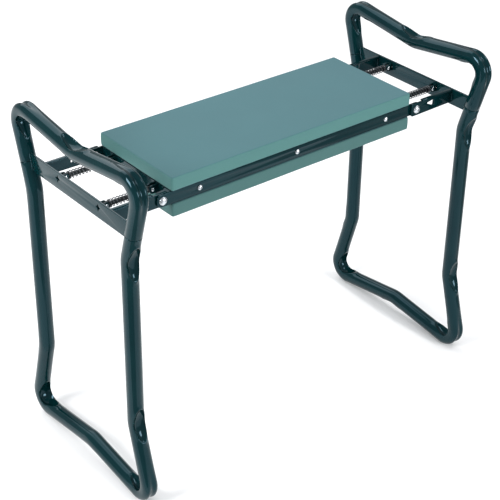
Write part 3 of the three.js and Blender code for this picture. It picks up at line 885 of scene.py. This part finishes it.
def rail_screw(x, side):
    """A domed screw with a cross recess."""
    face = RAIL_OUT + SCREW_CLEAR
    point = [(0, BOARD_HALF_Y - 16), (1.2, BOARD_HALF_Y - 14), (SCREW_R, BOARD_HALF_Y - 12)]
    profile = [*point, (SCREW_R, face), *dome(*SCREW_HEAD, face, 9)]
    screw = turned(outward(profile, side), x, HINGE_Z, 36)
    low, high = sorted((side * (face + RECESS_FLOOR), side * (face + 4)))
    for across, along in ((RECESS_THIN, RECESS_LONG), (RECESS_LONG, RECESS_THIN)):
        arm = rounded(box(x - across, HINGE_Z - along, x + across, HINGE_Z + along), [0.2] * 4, 3)
        cutter = plate(arm, [], low, high - low, "xz", edge=0.05, rounds=1)
        screw = combined("DIFFERENCE", screw, cutter, sharp=40)
    return screw


def cheek_pin(x, y):
    """A rivet along Y with a domed head at either end."""
    reach = CHEEK_GAP + CHEEK_THICK + PIN_CLEAR
    half = [(PIN_R, reach), *dome(*PIN_HEAD, reach, 6)]
    profile = [(radius, -along) for radius, along in reversed(half)] + half
    return turned(profile, x, STRUT_Z, 28, y)


def coil_spring(y):
    """A helical spring round the strut, its end turns closed up."""
    steps = 26
    turns = SPRING_TURNS + 2 * CLOSED_TURNS
    first, last = SPRING_NEAR + WIRE_R, SPRING_FAR - WIRE_R
    closed_pitch = 2 * WIRE_R * 1.06
    pitch = (last - first - 2 * CLOSED_TURNS * closed_pitch) / SPRING_TURNS
    centres, normals, binormals = [], [], []
    for k in range(int(turns * steps) + 1):
        turn = k / steps
        live = min(max(turn - CLOSED_TURNS, 0), SPRING_TURNS)
        closed = min(turn, CLOSED_TURNS) + max(turn - CLOSED_TURNS - SPRING_TURNS, 0)
        along = first + live * pitch + closed * closed_pitch
        angle = 2 * math.pi * turn
        out = Vector((0, math.cos(angle), math.sin(angle)))
        slope = (pitch if 0 < live < SPRING_TURNS else closed_pitch) / (2 * math.pi)
        heading = Vector((slope, -SPRING_R * out.z, SPRING_R * out.y)).normalized()
        centres.append(Vector((along, y, STRUT_Z)) + out * SPRING_R)
        normals.append(out)
        binormals.append(heading.cross(out))
    return swept(centres, normals, binormals, [WIRE_R] * len(centres), 10)


def weld_bead(start, finish, radius, seed):
    """A run of weld: overlapping ripples that taper off at both ends."""
    start, finish = Vector(start), Vector(finish)
    heading = (finish - start).normalized()
    normal = heading.cross(Vector((1, 0, 0))).normalized()
    binormal = heading.cross(normal)
    length = (finish - start).length
    steps = int(length / WELD_STEP)
    centres, radii = [], []
    for k in range(steps + 1):
        share = k / steps
        taper = min(1, 5 * share + 0.25, 5 * (1 - share) + 0.25)
        ripple = abs(math.sin(math.pi * share * length / WELD_RIPPLE + seed))
        wander = 0.14 * math.sin(1.7 * seed + 9 * share)
        centres.append(start.lerp(finish, share) + normal * wander)
        radii.append(radius * taper * (0.84 + 0.22 * ripple))
    count = len(centres)
    return swept(centres, [normal] * count, [binormal] * count, radii, 12)


def crossbar_welds():
    """Beads where the crossbar meets each leg, on both faces."""
    beads = []
    for side in (-1, 1):
        for face in (BAR_IN, BAR_IN + BAR_THICK):
            ends = [(face, side * (leg_y(z) - TUBE_R / math.cos(LEG_LEAN) + 0.25), z)
                    for z in (BAR_LOW + BAR_WELD_IN, BAR_HIGH - BAR_WELD_IN)]
            beads.append(weld_bead(*ends, BAR_WELD_R, len(beads) + side * 0.3))
    return gathered(beads)


def arm_welds(y_low):
    """Beads up either side of an arm where it meets the crossbar."""
    x, low, high = BAR_IN - GAP - WELD_SINK, ARM_FOOT + 1.5, ARM_TOP - LIP_ROOT
    return gathered([
        weld_bead((x, y, low), (x, y, high), ARM_WELD_R, y)
        for y in (y_low + WELD_SINK, y_low + ARM_THICK - WELD_SINK)])


# ---------- pads ----------


def pad_lines(half):
    """Grid lines across a pad, close together where its edges and corners curve."""
    outer = sorted({half - bend * (1 - t) for bend in (PAD_EDGE, PAD_CORNER) for t in ROLLS})
    inner_end = outer[0]
    count = round(2 * inner_end / PAD_GRID)
    inner = [inner_end * (2 * k / count - 1) for k in range(1, count)]
    return [-x for x in reversed(outer)] + inner + outer


def foam_pad(low, face_up):
    """A foam slab: rolled edges, a slightly crowned face, sides a touch full, flat where it rests."""
    half = Vector((PAD_LENGTH / 2, PAD_WIDTH / 2, PAD_THICK / 2))
    rise = sorted({half.z - PAD_EDGE * (1 - t) for t in ROLLS})
    side = [-z for z in reversed(rise)] + [-PAD_SIDE_LINE, 0.0, PAD_SIDE_LINE] + rise
    lines = [pad_lines(half.x), pad_lines(half.y), side]
    index, points, faces = {}, [], []

    def corner_at(place):
        if place not in index:
            index[place] = len(points)
            points.append(pad_surface(Vector(place), half, face_up))
        return index[place]

    for axis in range(3):
        one, two = [k for k in range(3) if k != axis]
        for end in (lines[axis][0], lines[axis][-1]):
            for a, b in zip(lines[one], lines[one][1:]):
                for c, d in zip(lines[two], lines[two][1:]):
                    quad = []
                    for u, v in ((a, c), (b, c), (b, d), (a, d)):
                        place = [0.0, 0.0, 0.0]
                        place[axis], place[one], place[two] = end, u, v
                        quad.append(corner_at(tuple(place)))
                    faces.append(tuple(quad))
    middle = low + PAD_THICK / 2
    return form([(x, y, z + middle) for x, y, z in points], faces, sharp=60)


def pad_surface(place, half, face_up):
    """Where a point of the pad's box lands on the real, softened slab."""
    x, y, z = place
    a = max(-half.x + PAD_CORNER, min(half.x - PAD_CORNER, x))
    b = max(-half.y + PAD_CORNER, min(half.y - PAD_CORNER, y))
    out = Vector((x - a, y - b))
    if out.length > PAD_CORNER - PAD_EDGE:
        out = out.normalized() * (PAD_CORNER - PAD_EDGE)
    centre = Vector((a + out.x, b + out.y, max(-half.z + PAD_EDGE, min(half.z - PAD_EDGE, z))))
    surface = centre + (place - centre).normalized() * PAD_EDGE
    along, across = abs(surface.x) / half.x, abs(surface.y) / half.y
    crown = (1 - along ** 6) * (1 - across ** 4)
    long_wave = math.sin(0.041 * surface.x + 1.3)
    cross_wave = math.sin(0.073 * surface.y + 0.4 + 0.02 * surface.x)
    fall = PAD_FALL * (1 - crown) + PAD_WAVE * (long_wave + cross_wave)
    free = max(0.0, surface.z * face_up / half.z)
    surface.z -= face_up * (fall + PAD_CLEAR) * free ** 3
    drawn_in = PAD_FULL * (surface.z / half.z) ** 2
    surface.x *= 1 - drawn_in / half.x
    surface.y *= 1 - drawn_in / half.y
    return tuple(surface)


# ---------- assembly ----------


def build_seat(paint, plating):
    """The two pads, the board's look, and both rails with their screws."""
    # The lower pad is painted 0.7 as dark, as painted shade under the rail and the upper pad
    for node, low, face_up, foam_with_painted_reflection in (
            ("upper_pad", RAIL_HIGH + GAP, 1, foam()),
            ("lower_pad", RAIL_LOW - GAP - PAD_THICK, -1, foam("pad_foam_painted_shade", 0.7))):
        pad = stand_in(foam_pad(low, face_up), node, foam_with_painted_reflection)
    board = frame["nodes"]["seat_board"]
    board.data.materials.clear()
    board.data.materials.append(stained_board())
    for name, side, turn in (("front", -1, None), ("back", 1, ENDS["left"])):
        stand_in(rail(), f"{name}_rail", paint, turn)
        for along, x in SCREW_XS.items():
            stand_in(rail_screw(x, side), f"{name}_{along}_rail_screw", plating)


def build_end(end, paint, plating):
    """One leg loop with its arms, bolts, struts and springs, and the seat's end plate."""
    turn = ENDS[end]
    wire, strip = spring_wire(), blackened_steel()

    def place(side):
        return "front" if (side < 0) == (end == "right") else "back"

    stand_in(handle_tube(), f"{end}_handle_tube", paint, turn)
    stand_in(leg_tube(), f"{end}_leg_tube", paint, turn)
    stand_in(crossbar(), f"{end}_crossbar", paint, turn)
    stand_in(end_plate(), f"{end}_end_plate", paint, turn)
    install(crossbar_welds(), f"{end}_crossbar_welds", paint, f"{end}_leg", turn)
    # Each side's sign, then its arm's low face, the way its lip turns, and its bolt's faces
    sides = (
        (-1, -ARM_OUT - ARM_THICK, 1, ARM_OUT + ARM_THICK + BOLT_CLEAR, RAIL_IN - BOLT_CLEAR),
        (1, ARM_IN, -1, RAIL_OUT + BOLT_CLEAR, ARM_IN - BOLT_CLEAR),
    )
    for side, arm_low, lip_side, head_face, nut_face in sides:
        name = f"{end}_{place(side)}"
        y = side * STRUT_Y
        stand_in(hinge_arm(arm_low, lip_side), f"{name}_arm", paint, turn)
        install(arm_welds(arm_low), f"{name}_arm_welds", paint, f"{end}_leg", turn)
        stand_in(hinge_bolt(side, head_face, nut_face), f"{name}_hinge_bolt", plating, turn)
        stand_in(hinge_nut(side, nut_face), f"{name}_hinge_nut", plating, turn)
        stand_in(clevis(y), f"{name}_clevis", paint, turn)
        stand_in(cheek_pin(RIVET_X, y), f"{name}_strut_rivet", plating, turn)
        stand_in(cheek_pin(PIN_X, y), f"{name}_strut_pin", plating, turn)
        stand_in(strut(y), f"{name}_strut", strip, turn)
        spring = stand_in(coil_spring(y), f"{name}_spring", wire, turn)
        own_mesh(spring)


make_camera()
make_studio()
bpy.context.scene.view_settings.view_transform = "Standard"
frame_enamel = enamel()
plating = zinc()
build_seat(frame_enamel, plating)
for end_name in ENDS:
    build_end(end_name, frame_enamel, plating)
